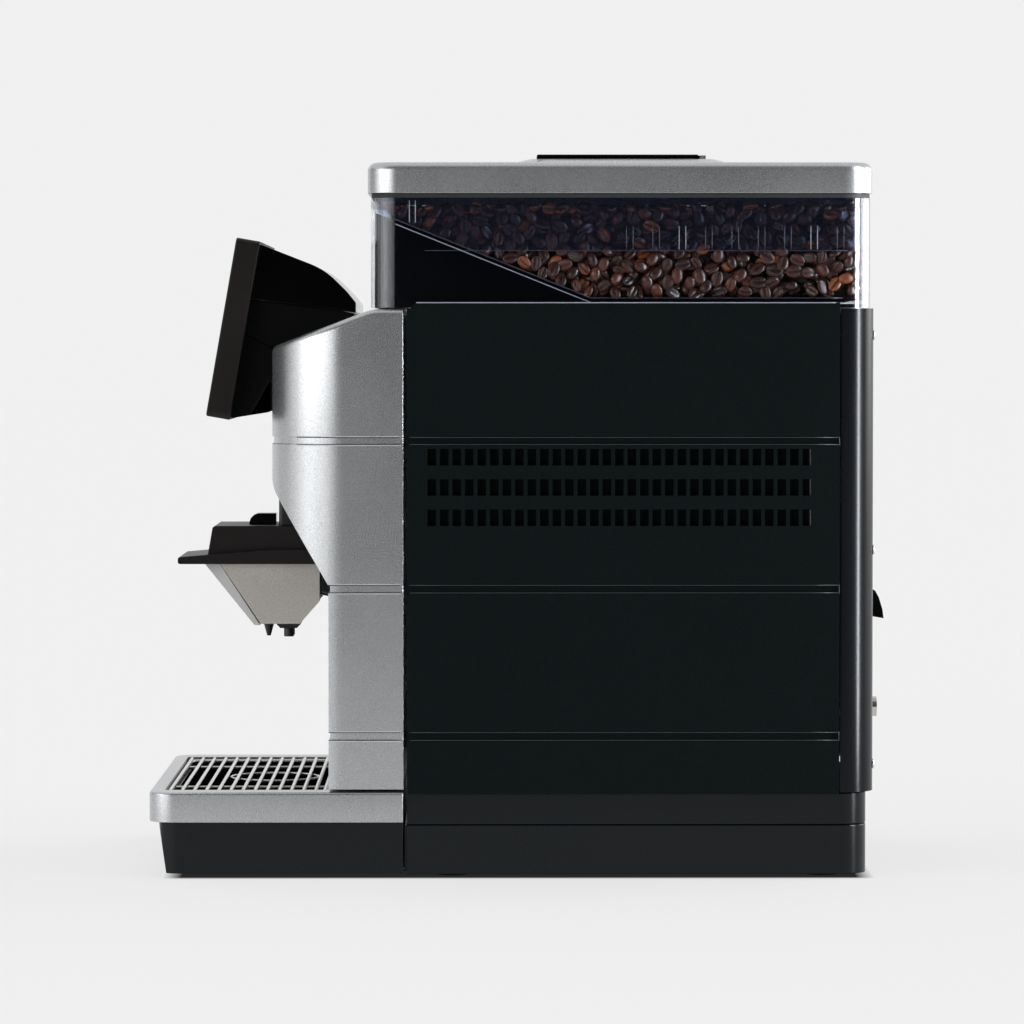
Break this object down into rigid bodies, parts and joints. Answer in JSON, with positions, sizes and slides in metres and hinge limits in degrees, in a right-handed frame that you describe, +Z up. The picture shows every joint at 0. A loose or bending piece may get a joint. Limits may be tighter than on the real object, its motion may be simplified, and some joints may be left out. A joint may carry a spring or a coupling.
{
  "type": "coffee vending machine",
  "caption": "Table-top bean-to-cup hot coffee machine with a clear bean bin, tilted display, height-adjustable spout and drip tray.",
  "frame": {"origin": "on the surface it stands on, under the middle of its bounding box", "axes": "+X to the machine's right as seen from the front, +Y to its back, +Z up; the front faces -Y"},
  "size_m": [0.38, 0.606, 0.596],
  "materials": {
    "panel_black": "fine textured satin",
    "cover_grey": "satin",
    "plinth_black": "satin",
    "silver_paint": "metallic satin",
    "gloss_black": "gloss",
    "brown_black": "satin gloss",
    "anthracite": "satin",
    "screen_glass": "gloss",
    "column_black": "gloss",
    "rack_black": "matt",
    "spout_metal": "satin",
    "spout_plate": "gloss",
    "nozzle_black": "matt",
    "stainless": "polished",
    "clear_bin": "clear gloss",
    "smoked": "smoked gloss",
    "coffee_beans": "roasted, slightly oily",
    "seal_rubber": "matt",
    "zinc_sheet": "zinc plated",
    "fitting_black": "matt",
    "plated_brass": "nickel plated",
    "cast_alloy": "cast",
    "hard_steel": "ground",
    "motor_black": "satin",
    "duct_grey": "matt",
    "bin_grey": "matt",
    "brew_plastic": "satin",
    "piston_white": "satin",
    "boiler_steel": "satin",
    "pump_black": "matt",
    "coil_black": "matt",
    "tank_white": "translucent",
    "silicone_hose": "satin",
    "board_green": "satin",
    "fan_black": "matt"
  },
  "bodies": {
    "cabinet": {"rubber_feet": "seal_rubber", "tray_runners": "stainless", "base_pan": "plinth_black", "plinth_band": "plinth_black", "chassis_deck": "zinc_sheet", "front_frame": "zinc_sheet", "rear_posts": "zinc_sheet", "top_deck": "zinc_sheet", "side_panel_right": "panel_black", "side_panel_left": "panel_black", "rear_cover": "cover_grey", "rear_screws": "stainless", "main_switch_frame": "fitting_black", "power_inlet": "fitting_black", "water_inlet": "plated_brass", "hopper_shell": "clear_bin", "hopper_floor": "smoked", "hopper_collar": "smoked", "bean_fill": "coffee_beans", "lid_seal": "seal_rubber", "hinge_cabinet": "stainless", "hinge_pins": "stainless", "grinder_housing": "cast_alloy", "upper_burr": "hard_steel", "grinder_motor": "motor_black", "grounds_chute": "duct_grey", "brew_group": "brew_plastic", "brew_bridge": "zinc_sheet", "boiler": "boiler_steel", "water_pump": "pump_black", "solenoid_valve": "coil_black", "water_tank": "tank_white", "water_hoses": "silicone_hose", "control_board": "board_green", "fan_frame": "fan_black", "grounds_box": "bin_grey"},
    "door": {"door_shell": "silver_paint", "front_panel": "column_black", "spout_rack": "rack_black", "display_frame": "brown_black", "display_glass": "screen_glass", "display_hood": "gloss_black", "display_neck": "anthracite", "display_back": "anthracite", "hinge_door": "stainless"},
    "spout": {"spout_hood": "brown_black", "spout_dome": "gloss_black", "spout_body": "spout_metal", "spout_front": "spout_plate", "spout_nozzles": "nozzle_black"},
    "tray": {"tray_bezel": "silver_paint", "tray_basin": "plinth_black", "drip_grille": "stainless"},
    "lid": {"lid_shell": "silver_paint", "hatch_pin": "stainless"},
    "hatch": {"filler_hatch": "gloss_black"},
    "burr": {"lower_burr": "hard_steel"},
    "piston": {"brew_piston": "piston_white"},
    "fan": {"fan_rotor": "fan_black"},
    "rocker": {"main_switch_rocker": "gloss_black"}
  },
  "joints": [
    {"name": "door_hinge", "type": "hinge", "parent": "cabinet", "child": "door", "pos_m": [-0.1866, -0.091, 0.27], "axis": [0, 0, -1], "range_deg": [0, 100]},
    {"name": "spout_height", "type": "slide", "parent": "door", "child": "spout", "axis": [0, 0, 1], "range_m": [-0.045, 0.02]},
    {"name": "tray_slide", "type": "slide", "parent": "cabinet", "child": "tray", "axis": [0, -1, 0], "range_m": [0, 0.2]},
    {"name": "lid_lift", "type": "slide", "parent": "cabinet", "child": "lid", "axis": [0, 0, 1], "range_m": [0, 0.12]},
    {"name": "hatch_hinge", "type": "hinge", "parent": "lid", "child": "hatch", "pos_m": [0, 0.156, 0.593], "axis": [-1, 0, 0], "range_deg": [0, 100]},
    {"name": "burr_spin", "type": "hinge", "parent": "cabinet", "child": "burr", "pos_m": [0, 0.15, 0.42], "axis": [0, 0, 1], "continuous": true},
    {"name": "piston_stroke", "type": "slide", "parent": "cabinet", "child": "piston", "axis": [0, 0, 1], "range_m": [0, 0.038]},
    {"name": "fan_spin", "type": "hinge", "parent": "cabinet", "child": "fan", "pos_m": [-0.09, 0.275, 0.33], "axis": [0, 1, 0], "continuous": true},
    {"name": "power_rocker", "type": "hinge", "parent": "cabinet", "child": "rocker", "pos_m": [0.12, 0.287, 0.2205], "axis": [-1, 0, 0], "range_deg": [0, 15]}
  ]
}
